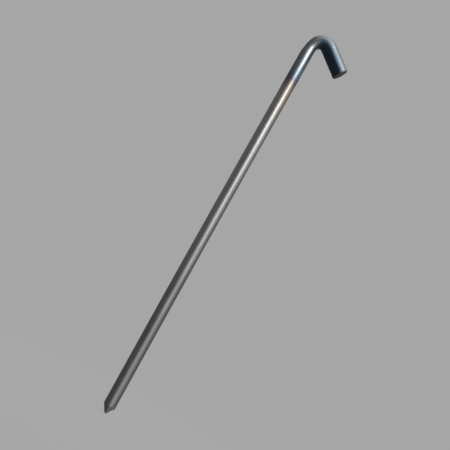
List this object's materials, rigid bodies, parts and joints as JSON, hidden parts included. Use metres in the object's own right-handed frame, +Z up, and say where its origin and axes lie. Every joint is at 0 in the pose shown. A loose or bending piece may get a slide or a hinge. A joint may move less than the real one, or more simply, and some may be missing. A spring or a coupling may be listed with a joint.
{
  "type": "tent stake",
  "caption": "Round steel bar with a blunt conical point at its foot and a tight open hook at its head, driven into the ground to hold a guy line or a tent loop.",
  "frame": {"origin": "on the shank's axis at the ground line of a driven stake, a little below the hook's mouth", "axes": "+Z up along the shank from point to hook, +X from the shank towards the hook's leg, hook in the XZ plane"},
  "size_m": [0.0373, 0.0106, 0.3184],
  "materials": {
    "bright_steel": "bright drawn steel, heat-tinted towards the hook"
  },
  "bodies": {
    "root": {"stake_rod": "bright_steel"}
  },
  "joints": []
}
